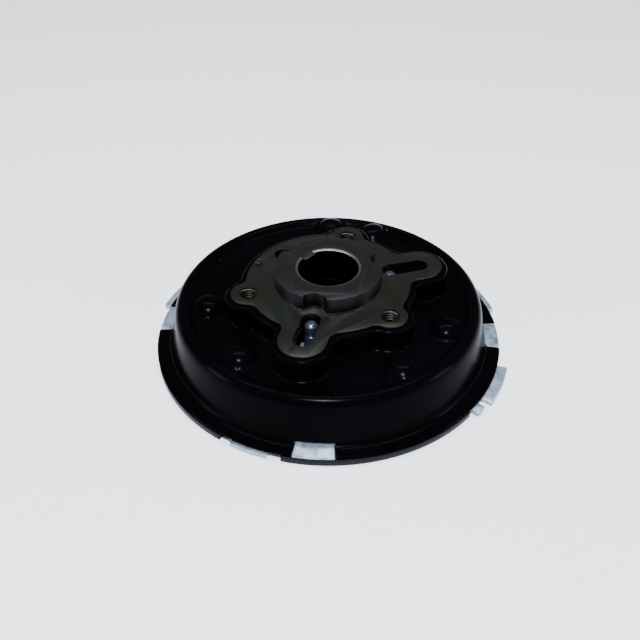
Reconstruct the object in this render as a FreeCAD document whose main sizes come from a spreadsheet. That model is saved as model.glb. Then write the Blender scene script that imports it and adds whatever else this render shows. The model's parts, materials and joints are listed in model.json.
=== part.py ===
import FreeCAD, Part
import math
import os
import Sketcher

# A keyed clutch flywheel for a small engine, in millimetres.
# The engine shaft enters along Z. The rim stands on z = 0 and the boss is at the top.
# Each separate piece is one body, and each body is written to parts/ under its own name.

SIZES = {
    # keyed hub
    "bore_radius": 12.7,
    "bore_chamfer": 1.1,
    "chamfer_depth": 0.4,
    "key_half_width": 3.175,
    "key_inner": 10.6,
    "key_outer": 14,
    "key_bottom": 27,
    "relief_bottom": 24,
    "relief_radius": 12.9,
    "key_angle": 134,
    "seat_radius": 20,
    "seat_top": 10.9,
    "shoulder_radius": 22.6,
    "spigot_radius": 23.3,
    "spigot_bottom": 14,
    "plate_bottom": 26.8,
    "plate_top": 32.8,
    "boss_radius": 23,
    "boss_top": 39.6,
    "plate_radius": 35.3,
    "lobe_radius": 7.4,
    "lobe_circle": 35,
    "lobe_first_angle": 75,
    "tap_radius": 3.4,
    "ear_radius": 9.9,
    "ear_reach": 41.4,
    "ear_first_angle": -105,
    "slot_radius": 4,
    "slot_start": 28,
    "slot_end": 41,
    "plate_blend": 5,
    "scallop_radius": 5.3,
    "scallop_circle": 24.3,
    "dowel_radius": 1.5,
    "dowel_circle": 33.5,
    "dowel_angle": 156.5,
    "dowel_stand": 0.7,
    # pressed shell
    "sheet": 1.5,
    "platform_top": 32.1,
    "flange_radius": 76,
    "flange_top": 4.5,
    "skirt_foot": 70.3,
    "skirt_top": 66.2,
    "crown_inner": 60.5,
    "crown_top": 24.5,
    "moat_outer": 58.5,
    "moat_top": 22,
    "shoulder_blend": 3.4,
    "platform_margin": 2.5,
    "plate_gap": 0.05,
    "platform_round": 1.2,
    "foot_round": 1.6,
    "shell_bore": 23.4,
    "screw_clearance": 4.6,
    "window_inner": 66.5,
    "window_reach": 77,
    "window_height": 1.6,
    "dome_ball": 8.6,
    "dome_centre": 18.2,
    "dome_low": 20.6,
    "dome_cut_low": 17,
    # rim ring and the zinc pieces on it
    "friction_inner": 40,
    "rim_thickness": 3,
    "notch_inner": 61.4,
    "notch_reach": 77,
    "lug_first_angle": -115,
    "ring_inner": 66,
    "ring_outer": 68.3,
    "tab_reach": 75.7,
    "weight_inner": 66,
    "weight_reach": 79,
    "weight_bottom": 1.4,
    # pressure plate
    "plate_inner": 24,
    "plate_raise_bottom": 13.5,
    "plate_raise_top": 16,
    "plate_raise_outer": 43,
    "plate_step": 40.5,
    "plate_face": 8,
    "plate_back": 11,
    "plate_outer": 65.2,
    "leg_inner": 62.6,
    "lug_bottom": 0.8,
    "lug_top": 2.3,
    "lug_reach": 76.6,
    "long_reach": 80.2,
    "lip_inner": 78.6,
    "lip_bottom": 0.1,
    # release pins
    "pin_circle": 28,
    "pin_radius": 2.75,
    "pin_top": 31.2,
    "pin_collar_radius": 3.3,
    "pin_collar_top": 20.4,
    "pin_groove_radius": 2.2,
    "pin_groove_bottom": 25.2,
    "pin_groove_top": 26,
    "pin_chamfer": 1.2,
    # springs
    "wire_radius": 0.8,
    "coil_radius": 4.7,
    "spring_bottom": 11.1,
    "spring_top": 22.2,
    "spring_turns": 5,
    # driven side
    "hub_lip": 24.2,
    "hub_lip_top": 3.9,
    "race_seat": 26,
    "hub_neck": 29.5,
    "hub_neck_top": 12.9,
    "neck_groove": 27,
    "neck_groove_top": 12,
    "hub_flange": 38.5,
    "hub_flange_bottom": 0.6,
    "hub_flange_top": 4.7,
    "driven_tap_radius": 2.5,
    "rivet_circle": 34,
    "rivet_radius": 1.75,
    "rivet_head": 2.9,
    "rivet_head_height": 1.1,
    "disc_inner": 29.6,
    "disc_outer": 60.6,
    "disc_thickness": 1.6,
    "lining_inner": 41.5,
    "lining_outer": 60,
    "lining_thickness": 1.55,
    # bearing and its rings
    "race_outer": 26,
    "race_inner_outside": 21.7,
    "race_outer_inside": 24.3,
    "ball_circle": 23,
    "ball_radius": 1.9,
    "ball_height": 7.4,
    "ball_track": 2.15,
    "ball_pocket": 2.05,
    "cage_inner": 22.3,
    "cage_outer": 23.7,
    "cage_bottom": 4.7,
    "cage_top": 10.1,
    "groove_depth": 1.2,
    "lower_ring_bottom": 2.2,
    "lower_ring_outer": 22.6,
    "upper_ring_inner": 24.4,
    "shell_ring_outer": 24.8,
    "shell_ring_bottom": 23.6,
}

LOBES = 3
EARS = 2
SCALLOPS = 3
TABS = 4
RIVETS = 6
BALLS = 18

# angles that a ring sector spans, in degrees
WINDOW_SPAN = 13.5
TAB_SPAN = 12.6
NOTCH_SPAN = 20.5
LUG_SPAN = 12
LONG_SPAN = 17
RING_GAP = 28

# angles about Z of the flange's windows, and of the lugs that stand out past the rim
WINDOW_ANGLES = [-95, -2.75, 85, 172]
LONG_LUGS = [-25, 65, 155]
# angle about Z and distance from it of each spring dome
DOMES = [(-175, 52.0), (-134, 52.2), (-58, 54.7), (-23.2, 53.4), (66.6, 56.2), (88, 56.8)]
# angle about Z and span of each balance weight, and of the notch it sits in
WEIGHTS = [(21.7, 18.4), (-38.4, 3.6)]
WEIGHT_NOTCHES = [(21.4, 25), (-38.2, 6)]

doc = FreeCAD.newDocument("clutch_flywheel")
sheet = doc.addObject("Spreadsheet::Sheet", "Size")
for row, (alias, number) in enumerate(SIZES.items(), start=1):
    sheet.set("A%d" % row, alias)
    sheet.set("B%d" % row, str(number))
    sheet.setAlias("B%d" % row, alias)
doc.recompute()

bodies = []


def value(words):
    """The number that a sum of named sizes comes to."""
    total = 0.0
    sign = 1
    for word in words.split():
        if word in ("+", "-"):
            sign = 1 if word == "+" else -1
        else:
            total += sign * (SIZES[word] if word in SIZES else float(word))
    return total


def formula(words):
    """The same sum as a spreadsheet expression."""
    return " ".join("Size." + word if word in SIZES else word for word in words.split())


def new_body(name):
    body = doc.addObject("PartDesign::Body", name)
    body.Label = name
    bodies.append(body)
    return body


def new_sketch(body, name, role, turn=0.0, lift="0"):
    """A sketch on one of the body's own planes; an upright one can be turned about Z."""
    sketch = body.newObject("Sketcher::SketchObject", name)
    plane = [item for item in body.Origin.OriginFeatures if item.Role == role][0]
    sketch.AttachmentSupport = [(plane, "")]
    sketch.MapMode = "FlatFace"
    up = FreeCAD.Vector(0, 0, 1) if role == "XY_Plane" else FreeCAD.Vector(0, 1, 0)
    spot = FreeCAD.Vector(0, 0, value(lift)) if role == "XY_Plane" else FreeCAD.Vector()
    sketch.AttachmentOffset = FreeCAD.Placement(spot, FreeCAD.Rotation(up, turn))
    if lift != "0":
        sketch.setExpression("AttachmentOffset.Base.z", formula(lift))
    return sketch


def bind(sketch, kind, words, *where):
    index = sketch.addConstraint(Sketcher.Constraint(kind, *where, value(words)))
    sketch.setExpression("Constraints[%d]" % index, formula(words))


def outline(sketch, corners):
    """A closed line through corners, each one a pair of named sizes."""
    points = [FreeCAD.Vector(value(x), value(y), 0) for x, y in corners]
    first = sketch.GeometryCount
    for index, point in enumerate(points):
        sketch.addGeometry(Part.LineSegment(point, points[(index + 1) % len(points)]))
    for index, (x, y) in enumerate(corners):
        line = first + index
        after = first + (index + 1) % len(corners)
        sketch.addConstraint(Sketcher.Constraint("Coincident", line, 2, after, 1))
        bind(sketch, "DistanceX", x, -1, 1, line, 1)
        bind(sketch, "DistanceY", y, -1, 1, line, 1)


def ring(sketch, radius, x="0", y="0"):
    """A circle of a named radius about a named point."""
    centre = FreeCAD.Vector(value(x), value(y), 0)
    index = sketch.addGeometry(Part.Circle(centre, FreeCAD.Vector(0, 0, 1), value(radius)))
    bind(sketch, "Radius", radius, index)
    bind(sketch, "DistanceX", x, -1, 1, index, 3)
    bind(sketch, "DistanceY", y, -1, 1, index, 3)


def stadium(sketch, radius, start, end):
    """A round-ended strip along the sketch's X axis, from centre start to centre end."""
    half = value(radius)
    near = FreeCAD.Vector(value(start), 0, 0)
    far = FreeCAD.Vector(value(end), 0, 0)
    side = FreeCAD.Vector(0, half, 0)
    normal = FreeCAD.Vector(0, 0, 1)
    top = sketch.addGeometry(Part.LineSegment(far + side, near + side))
    left = sketch.addGeometry(Part.ArcOfCircle(Part.Circle(near, normal, half), math.pi / 2, math.pi * 1.5))
    low = sketch.addGeometry(Part.LineSegment(near - side, far - side))
    right = sketch.addGeometry(Part.ArcOfCircle(Part.Circle(far, normal, half), -math.pi / 2, math.pi / 2))
    joints = ((top, 2, left, 1), (low, 1, left, 2), (low, 2, right, 1), (top, 1, right, 2))
    for line, end_a, arc, end_b in joints:
        sketch.addConstraint(Sketcher.Constraint("Tangent", line, end_a, arc, end_b))
    sketch.addConstraint(Sketcher.Constraint("PointOnObject", left, 3, -1))
    sketch.addConstraint(Sketcher.Constraint("PointOnObject", right, 3, -1))
    bind(sketch, "DistanceX", start, -1, 1, left, 3)
    bind(sketch, "DistanceX", end, -1, 1, right, 3)
    bind(sketch, "Radius", radius, left)


def sector(sketch, inner, outer, degrees):
    """A piece of a flat ring, centred on the sketch's X axis."""
    half = math.radians(degrees / 2)
    normal = FreeCAD.Vector(0, 0, 1)
    middle = FreeCAD.Vector()
    reach = value(outer)
    start = value(inner)
    low = FreeCAD.Vector(math.cos(half), -math.sin(half), 0)
    high = FreeCAD.Vector(math.cos(half), math.sin(half), 0)
    out_arc = sketch.addGeometry(Part.ArcOfCircle(Part.Circle(middle, normal, reach), -half, half))
    in_arc = sketch.addGeometry(Part.ArcOfCircle(Part.Circle(middle, normal, start), -half, half))
    side_a = sketch.addGeometry(Part.LineSegment(low * start, low * reach))
    side_b = sketch.addGeometry(Part.LineSegment(high * start, high * reach))
    for line, arc_end in ((side_a, 1), (side_b, 2)):
        sketch.addConstraint(Sketcher.Constraint("Coincident", line, 1, in_arc, arc_end))
        sketch.addConstraint(Sketcher.Constraint("Coincident", line, 2, out_arc, arc_end))
    sketch.addConstraint(Sketcher.Constraint("Coincident", out_arc, 3, -1, 1))
    sketch.addConstraint(Sketcher.Constraint("Coincident", in_arc, 3, -1, 1))
    bind(sketch, "Radius", outer, out_arc)
    bind(sketch, "Radius", inner, in_arc)
    sketch.addConstraint(Sketcher.Constraint("Angle", -1, 1, side_a, 1, -half))
    sketch.addConstraint(Sketcher.Constraint("Angle", -1, 1, side_b, 1, half))


def cap(sketch, centre, radius, low):
    """Half of a ball's outline above a level, closed along the sketch's Y axis."""
    middle = FreeCAD.Vector(0, value(centre), 0)
    ball = value(radius)
    start = math.asin((value(low) - value(centre)) / ball)
    side = math.cos(start) * ball
    top = FreeCAD.Vector(0, value(centre) + ball, 0)
    corner = FreeCAD.Vector(side, value(low), 0)
    foot = FreeCAD.Vector(0, value(low), 0)
    round_part = Part.ArcOfCircle(Part.Circle(middle, FreeCAD.Vector(0, 0, 1), ball), start, math.pi / 2)
    arc = sketch.addGeometry(round_part)
    axis = sketch.addGeometry(Part.LineSegment(top, foot))
    floor = sketch.addGeometry(Part.LineSegment(foot, corner))
    sketch.addConstraint(Sketcher.Constraint("Coincident", arc, 2, axis, 1))
    sketch.addConstraint(Sketcher.Constraint("Coincident", axis, 2, floor, 1))
    sketch.addConstraint(Sketcher.Constraint("Coincident", floor, 2, arc, 1))
    sketch.addConstraint(Sketcher.Constraint("PointOnObject", arc, 3, -2))
    sketch.addConstraint(Sketcher.Constraint("PointOnObject", axis, 1, -2))
    sketch.addConstraint(Sketcher.Constraint("PointOnObject", axis, 2, -2))
    sketch.addConstraint(Sketcher.Constraint("Horizontal", floor))
    bind(sketch, "DistanceY", centre, -1, 1, arc, 3)
    bind(sketch, "DistanceY", low, -1, 1, axis, 2)
    bind(sketch, "Radius", radius, arc)


def stand_at(sketch, angle, reach):
    """Move an upright sketch so that its Y axis stands at a point round the Z axis."""
    x = reach * math.cos(math.radians(angle))
    y = reach * math.sin(math.radians(angle))
    sketch.AttachmentOffset = FreeCAD.Placement(FreeCAD.Vector(x, 0, -y), FreeCAD.Rotation())


def turned(body, name, sketch, cut=False):
    """Turn a sketch once about its own Y axis."""
    doc.recompute()
    feature = body.newObject("PartDesign::Groove" if cut else "PartDesign::Revolution", name)
    feature.Profile = sketch
    feature.ReferenceAxis = (sketch, ["V_Axis"])
    feature.Angle = 360
    doc.recompute()
    return feature


def spin(body, name, corners, cut=False, degrees=360.0):
    """A solid of revolution about Z, added or cut away."""
    sketch = new_sketch(body, name + "_profile", "XZ_Plane")
    outline(sketch, corners)
    feature = turned(body, name, sketch, cut)
    if degrees < 360:
        feature.Midplane = True
        feature.Angle = degrees
        doc.recompute()
    return feature


def block(body, name, angle, span, inner, outer, low, high, cut=False):
    """A sector of a flat ring between two heights, added or cut away."""
    sketch = new_sketch(body, name + "_sketch", "XY_Plane", angle, low)
    sector(sketch, inner, outer, span)
    height = high + " - " + low.replace(" - ", " + ")
    return pocket(body, name, sketch, height) if cut else pad(body, name, sketch, height)


def ball(body, name, radius, circle, height):
    """A whole ball on the X axis side of Z."""
    plane = [item for item in body.Origin.OriginFeatures if item.Role == "XY_Plane"][0]
    spot = FreeCAD.Vector(value(circle), 0, value(height))
    feature = body.newObject("PartDesign::AdditiveSphere", name)
    feature.AttachmentSupport = [(plane, "")]
    feature.MapMode = "FlatFace"
    feature.AttachmentOffset = FreeCAD.Placement(spot, FreeCAD.Rotation())
    feature.setExpression("AttachmentOffset.Base.x", formula(circle))
    feature.setExpression("AttachmentOffset.Base.z", formula(height))
    feature.setExpression("Radius", formula(radius))
    doc.recompute()
    return feature


def holes(body, name, radius, circle, angle, low, height, count, degrees=360):
    """Equal upright holes on a circle about Z."""
    sketch = new_sketch(body, name + "_sketch", "XY_Plane", angle, low)
    ring(sketch, radius, circle)
    first = pocket(body, name + "_first", sketch, height)
    if count > 1:
        repeat(body, name, first, count, degrees)


def pad(body, name, sketch, words):
    """Raise a flat sketch by a named height."""
    doc.recompute()
    feature = body.newObject("PartDesign::Pad", name)
    feature.Profile = sketch
    feature.Length = value(words)
    feature.setExpression("Length", formula(words))
    doc.recompute()
    return feature


def pocket(body, name, sketch, words):
    """Cut a flat sketch upward by a named height."""
    doc.recompute()
    feature = body.newObject("PartDesign::Pocket", name)
    feature.Profile = sketch
    feature.Length = value(words)
    feature.setExpression("Length", formula(words))
    feature.Reversed = True
    doc.recompute()
    return feature


def repeat(body, name, feature, count, degrees):
    """Repeat one feature about Z; degrees is the whole angle that the copies span."""
    pattern = body.newObject("PartDesign::PolarPattern", name)
    pattern.Originals = [feature]
    axis = [item for item in body.Origin.OriginFeatures if item.Role == "Z_Axis"][0]
    pattern.Axis = (axis, [""])
    pattern.Angle = degrees
    pattern.Occurrences = count
    body.Tip = pattern
    doc.recompute()
    return pattern


def blend(body, name, radius, wanted):
    """Round the edges of the body that a test picks."""
    base = body.Tip
    names = ["Edge%d" % (index + 1) for index, edge in enumerate(base.Shape.Edges) if wanted(edge)]
    feature = body.newObject("PartDesign::Fillet", name)
    feature.Base = (base, names)
    feature.Radius = value(radius)
    feature.setExpression("Radius", formula(radius))
    doc.recompute()
    body.Tip = feature
    return feature


def upright_at(edge, radius, low, high):
    """True for a straight upright edge at a distance from Z, between two heights."""
    if edge.Curve.TypeId != "Part::GeomLine":
        return False
    a = edge.Vertexes[0].Point
    b = edge.Vertexes[-1].Point
    upright = math.hypot(a.x - b.x, a.y - b.y) < 0.001
    near = abs(math.hypot(a.x, a.y) - radius) < 0.05
    return upright and near and min(a.z, b.z) > low - 0.01 and max(a.z, b.z) < high + 0.01


def circle_at(edge, radius, height):
    """True for a circular edge about Z at a given radius and height."""
    if edge.Curve.TypeId != "Part::GeomCircle":
        return False
    centre = edge.Curve.Center
    on_axis = math.hypot(centre.x, centre.y) < 0.001
    return on_axis and abs(edge.Curve.Radius - radius) < 0.01 and abs(centre.z - height) < 0.01


def level_at(edge, height, reach):
    """True for an edge that lies at one height and within a distance of Z."""
    box = edge.BoundBox
    flat = abs(box.ZMin - height) < 0.01 and abs(box.ZMax - height) < 0.01
    return flat and all(math.hypot(point.x, point.y) < reach for point in edge.discretize(5))


def star_plate(body, name, low, height, grow, rounding):
    """The plate outline with its lobes and ears, grown by a named margin, as a raised solid."""
    base = new_sketch(body, name + "_circle", "XY_Plane", 0, low)
    ring(base, "plate_radius " + grow)
    pad(body, name + "_disc", base, height)
    lobe = new_sketch(body, name + "_lobe_sketch", "XY_Plane", SIZES["lobe_first_angle"], low)
    stadium(lobe, "lobe_radius " + grow, "shell_bore", "lobe_circle")
    repeat(body, name + "_lobes", pad(body, name + "_lobe", lobe, height), LOBES, 360)
    ear = new_sketch(body, name + "_ear_sketch", "XY_Plane", SIZES["ear_first_angle"], low)
    stadium(ear, "ear_radius " + grow, "shell_bore + 4", "ear_reach")
    ear_pad = pad(body, name + "_ear", ear, height)
    # the second ear is a third of a turn on, so the pattern spans 120 degrees
    repeat(body, name + "_ears", ear_pad, EARS, 120)
    bottom = value(low)
    corner = value("plate_radius " + grow)
    top = bottom + value(height)
    blend(body, name + "_blend", rounding, lambda edge: upright_at(edge, corner, bottom, top))


# ---------------------------------------------------------------- hub
hub = new_body("hub")
spin(hub, "hub_stem", [
    ("bore_radius", "0"), ("seat_radius", "0"),
    ("seat_radius", "lower_ring_bottom"),
    ("seat_radius - groove_depth", "lower_ring_bottom"),
    ("seat_radius - groove_depth", "hub_lip_top"),
    ("seat_radius", "hub_lip_top"),
    ("seat_radius", "seat_top"), ("shoulder_radius", "seat_top"),
    ("shoulder_radius", "spigot_bottom"), ("spigot_radius", "spigot_bottom"),
    ("spigot_radius", "shell_ring_bottom"),
    ("spigot_radius - groove_depth", "shell_ring_bottom"),
    ("spigot_radius - groove_depth", "plate_bottom - sheet"),
    ("spigot_radius", "plate_bottom - sheet"),
    ("spigot_radius", "plate_bottom + 0.5"),
    ("boss_radius", "plate_bottom + 0.5"),
    ("boss_radius", "boss_top"), ("bore_radius", "boss_top"),
])
star_plate(hub, "plate", "plate_bottom", "plate_top - plate_bottom", "", "plate_blend")
scallop = new_sketch(hub, "scallop_sketch", "XY_Plane", SIZES["ear_first_angle"], "plate_top")
ring(scallop, "scallop_radius", "scallop_circle")
repeat(hub, "scallops", pocket(hub, "scallop", scallop, "boss_top - plate_top"), SCALLOPS, 360)
slot = new_sketch(hub, "slot_sketch", "XY_Plane", SIZES["ear_first_angle"], "plate_bottom")
stadium(slot, "slot_radius", "slot_start", "slot_end")
repeat(hub, "slots", pocket(hub, "slot", slot, "plate_top - plate_bottom"), EARS, 120)
holes(hub, "taps", "tap_radius", "lobe_circle", SIZES["lobe_first_angle"],
      "plate_bottom", "plate_top - plate_bottom", LOBES)
bore = new_sketch(hub, "bore_sketch", "XY_Plane")
ring(bore, "bore_radius")
pocket(hub, "bore", bore, "boss_top")
# above the fitting length the bore is a little wider, and a key stands in that part
spin(hub, "bore_relief", [
    ("0", "relief_bottom"), ("relief_radius", "relief_bottom"),
    ("relief_radius", "boss_top"), ("0", "boss_top"),
], cut=True)
spin(hub, "bore_mouth", [
    ("0", "boss_top"), ("relief_radius + bore_chamfer", "boss_top"),
    ("relief_radius", "boss_top - chamfer_depth"), ("0", "boss_top - chamfer_depth"),
], cut=True)
key = new_sketch(hub, "key_sketch", "XY_Plane", SIZES["key_angle"], "key_bottom")
outline(key, [
    ("key_inner", "0 - key_half_width"), ("key_outer", "0 - key_half_width"),
    ("key_outer", "key_half_width"), ("key_inner", "key_half_width"),
])
pad(hub, "key", key, "boss_top - key_bottom")
holes(hub, "pin_hole", "slot_radius", "pin_circle", SIZES["key_angle"] + 1,
      "plate_bottom", "plate_top - plate_bottom", 1)
holes(hub, "dowel_hole", "dowel_radius", "dowel_circle", SIZES["dowel_angle"],
      "plate_bottom", "plate_top - plate_bottom", 1)

# ---------------------------------------------------------------- pressed shell
shell = new_body("shell")
spin(shell, "dish", [
    ("flange_radius", "flange_top - sheet"), ("flange_radius", "flange_top"),
    ("skirt_foot", "flange_top"), ("skirt_top", "crown_top"),
    ("crown_inner", "crown_top"), ("moat_outer", "moat_top"),
    ("shell_bore", "moat_top"), ("shell_bore", "moat_top - sheet"),
    ("moat_outer + 0.7", "moat_top - sheet"), ("crown_inner + 0.7", "crown_top - sheet"),
    ("skirt_top - sheet", "crown_top - sheet"), ("skirt_foot - sheet", "flange_top - sheet"),
])
blend(shell, "crown_round", "shoulder_blend",
      lambda edge: circle_at(edge, value("skirt_top"), value("crown_top")))
blend(shell, "crown_inside", "shoulder_blend - sheet",
      lambda edge: circle_at(edge, value("skirt_top - sheet"), value("crown_top - sheet")))
blend(shell, "crown_ease", "sheet", lambda edge: circle_at(edge, value("crown_inner"), value("crown_top"))
      or circle_at(edge, value("moat_outer"), value("moat_top"))
      or circle_at(edge, value("skirt_foot"), value("flange_top")))
star_plate(shell, "platform", "moat_top - sheet", "platform_top - moat_top + sheet", "+ platform_margin",
           "plate_blend")


blend(shell, "platform_top", "platform_round",
      lambda edge: level_at(edge, value("platform_top"), value("moat_outer") - 1))
blend(shell, "platform_foot", "foot_round",
      lambda edge: level_at(edge, value("moat_top"), value("moat_outer") - 1))

# the hub plate is let into the platform from above, in a pocket of its own outline
plate_block = doc.addObject("PartDesign::Body", "plate_block")
star_plate(plate_block, "pocket", "plate_bottom", "platform_top - plate_bottom + 1", "+ plate_gap", "plate_blend")
let_in = shell.newObject("PartDesign::Boolean", "plate_pocket")
let_in.setObjects([plate_block])
let_in.Type = "Cut"
doc.recompute()

# the underside of the platform is hollow, one sheet thickness inside its walls
hollow = [
    ("circle", 0, 1, 0),
    ("lobe", SIZES["lobe_first_angle"], LOBES, 360),
    ("ear", SIZES["ear_first_angle"], EARS, 120),
]
for kind, angle, count, degrees in hollow:
    under = new_sketch(shell, "under_" + kind + "_sketch", "XY_Plane", angle, "moat_top - sheet")
    if kind == "circle":
        ring(under, "plate_radius + platform_margin - sheet")
    if kind == "lobe":
        stadium(under, "lobe_radius + platform_margin - sheet", "shell_bore", "lobe_circle")
    if kind == "ear":
        stadium(under, "ear_radius + platform_margin - sheet", "shell_bore + 4", "ear_reach")
    cut = pocket(shell, "under_" + kind, under, "plate_bottom - moat_top")
    if count > 1:
        repeat(shell, "under_" + kind + "s", cut, count, degrees)
for number, (angle, reach) in enumerate(DOMES, start=1):
    outside = new_sketch(shell, "dome_sketch_%d" % number, "XZ_Plane")
    cap(outside, "dome_centre", "dome_ball", "dome_low")
    stand_at(outside, angle, reach)
    turned(shell, "dome_%d" % number, outside)
for number, (angle, reach) in enumerate(DOMES, start=1):
    inside = new_sketch(shell, "pocket_sketch_%d" % number, "XZ_Plane")
    cap(inside, "dome_centre", "dome_ball - sheet", "dome_cut_low")
    stand_at(inside, angle, reach)
    turned(shell, "spring_pocket_%d" % number, inside, cut=True)
holes(shell, "pin_clearance", "slot_radius + 0.2", "pin_circle", SIZES["key_angle"] + 1,
      "plate_bottom - sheet", "sheet", 1)
centre_hole = new_sketch(shell, "centre_hole_sketch", "XY_Plane", 0, "moat_top - sheet")
ring(centre_hole, "shell_bore")
pocket(shell, "centre_hole", centre_hole, "plate_bottom - moat_top + sheet")
holes(shell, "screw_holes", "screw_clearance", "lobe_circle", SIZES["lobe_first_angle"],
      "plate_bottom - sheet", "sheet", LOBES)
holes(shell, "dowel_seat", "dowel_radius", "dowel_circle", SIZES["dowel_angle"],
      "plate_bottom - sheet", "sheet", 1)
pin_slot = new_sketch(shell, "pin_slot_sketch", "XY_Plane", SIZES["ear_first_angle"], "plate_bottom - sheet")
stadium(pin_slot, "slot_radius + 0.2", "slot_start", "slot_end")
repeat(shell, "pin_slots", pocket(shell, "pin_slot", pin_slot, "sheet"), EARS, 120)
for number, angle in enumerate(WINDOW_ANGLES, start=1):
    block(shell, "window_%d" % number, angle, WINDOW_SPAN, "window_inner", "window_reach",
          "flange_top - sheet", "flange_top - sheet + window_height", cut=True)

# ---------------------------------------------------------------- rim ring
rim_ring = new_body("rim_ring")
spin(rim_ring, "rim_flat", [
    ("friction_inner", "0"), ("flange_radius", "0"),
    ("flange_radius", "rim_thickness"), ("friction_inner", "rim_thickness"),
])
notch = block(rim_ring, "lug_notch", SIZES["lug_first_angle"], NOTCH_SPAN, "notch_inner", "notch_reach",
              "0", "rim_thickness", cut=True)
repeat(rim_ring, "lug_notches", notch, TABS, 360)
for number, (angle, span) in enumerate(WEIGHT_NOTCHES, start=1):
    block(rim_ring, "weight_notch_%d" % number, angle, span, "notch_inner + 3", "notch_reach",
          "0", "rim_thickness", cut=True)

# ---------------------------------------------------------------- retainer ring with tabs
retainer_ring = new_body("retainer_ring")
spin(retainer_ring, "retainer_flat", [
    ("ring_inner", "rim_thickness"), ("ring_outer", "rim_thickness"),
    ("ring_outer", "flange_top"), ("ring_inner", "flange_top"),
])
for number, angle in enumerate(WINDOW_ANGLES, start=1):
    block(retainer_ring, "tab_%d" % number, angle, TAB_SPAN, "ring_inner", "tab_reach",
          "rim_thickness", "flange_top")

# ---------------------------------------------------------------- balance weights
balance_weights = new_body("balance_weights")
for number, (angle, span) in enumerate(WEIGHTS, start=1):
    block(balance_weights, "weight_%d" % number, angle, span, "weight_inner", "weight_reach",
          "weight_bottom", "rim_thickness")

# ---------------------------------------------------------------- dowel and the ring under the shell
dowel = new_body("dowel")
dowel_sketch = new_sketch(dowel, "dowel_sketch", "XY_Plane", SIZES["dowel_angle"], "plate_bottom - sheet")
ring(dowel_sketch, "dowel_radius", "dowel_circle")
pad(dowel, "dowel_pin", dowel_sketch, "plate_top - plate_bottom + sheet + dowel_stand")

shell_ring = new_body("shell_ring")
spin(shell_ring, "shell_ring_turn", [
    ("spigot_radius - groove_depth", "shell_ring_bottom"), ("shell_ring_outer", "shell_ring_bottom"),
    ("shell_ring_outer", "plate_bottom - sheet"), ("spigot_radius - groove_depth", "plate_bottom - sheet"),
], degrees=360 - RING_GAP)

# ---------------------------------------------------------------- pressure plate with lugs
pressure_plate = new_body("pressure_plate")
spin(pressure_plate, "stepped_plate", [
    ("plate_inner", "plate_raise_bottom"), ("plate_step", "plate_raise_bottom"),
    ("plate_step", "plate_face"), ("plate_outer", "plate_face"),
    ("plate_outer", "plate_back"), ("plate_raise_outer", "plate_back"),
    ("plate_raise_outer", "plate_raise_top"), ("plate_inner", "plate_raise_top"),
])
for name, outer, low, high in (("leg", "plate_outer", "lug_bottom", "plate_back"),
                               ("lug", "lug_reach", "lug_bottom", "lug_top")):
    arm = block(pressure_plate, name, SIZES["lug_first_angle"], LUG_SPAN, "leg_inner", outer, low, high)
    repeat(pressure_plate, name + "s", arm, TABS, 360)
for number, angle in enumerate(LONG_LUGS, start=1):
    block(pressure_plate, "long_lug_%d" % number, angle, LONG_SPAN, "window_inner + 1", "long_reach",
          "lug_bottom", "lug_top")
    block(pressure_plate, "lip_%d" % number, angle, LONG_SPAN, "lip_inner", "long_reach",
          "lip_bottom", "lug_top")
holes(pressure_plate, "pin_holes", "pin_radius", "pin_circle", SIZES["ear_first_angle"],
      "plate_raise_bottom", "plate_raise_top - plate_raise_bottom", SCALLOPS)

# ---------------------------------------------------------------- release pins
release_pins = new_body("release_pins")
pin_sketch = new_sketch(release_pins, "pin_sketch", "XZ_Plane")
outline(pin_sketch, [
    ("0", "plate_raise_bottom"), ("pin_radius", "plate_raise_bottom"),
    ("pin_radius", "plate_raise_top"), ("pin_collar_radius", "plate_raise_top"),
    ("pin_collar_radius", "pin_collar_top"), ("pin_radius", "pin_collar_top"),
    ("pin_radius", "pin_groove_bottom"), ("pin_groove_radius", "pin_groove_bottom"),
    ("pin_groove_radius", "pin_groove_top"), ("pin_radius", "pin_groove_top"),
    ("pin_radius", "pin_top - pin_chamfer"), ("pin_radius - pin_chamfer", "pin_top"), ("0", "pin_top"),
])
stand_at(pin_sketch, SIZES["ear_first_angle"], SIZES["pin_circle"])
repeat(release_pins, "pins", turned(release_pins, "pin", pin_sketch), SCALLOPS, 360)

# ---------------------------------------------------------------- six coil springs
for number, (angle, reach) in enumerate(DOMES, start=1):
    spring = new_body("spring_%d" % number)
    wire = new_sketch(spring, "wire_%d" % number, "XZ_Plane")
    ring(wire, "wire_radius", "coil_radius", "spring_bottom + wire_radius")
    stand_at(wire, angle, reach)
    doc.recompute()
    coil = spring.newObject("PartDesign::AdditiveHelix", "coil_%d" % number)
    coil.Profile = wire
    coil.ReferenceAxis = (wire, ["V_Axis"])
    coil.Mode = 2
    coil.setExpression("Height", formula("spring_top - spring_bottom - wire_radius - wire_radius"))
    coil.setExpression("Turns", formula("spring_turns"))
    doc.recompute()

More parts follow.
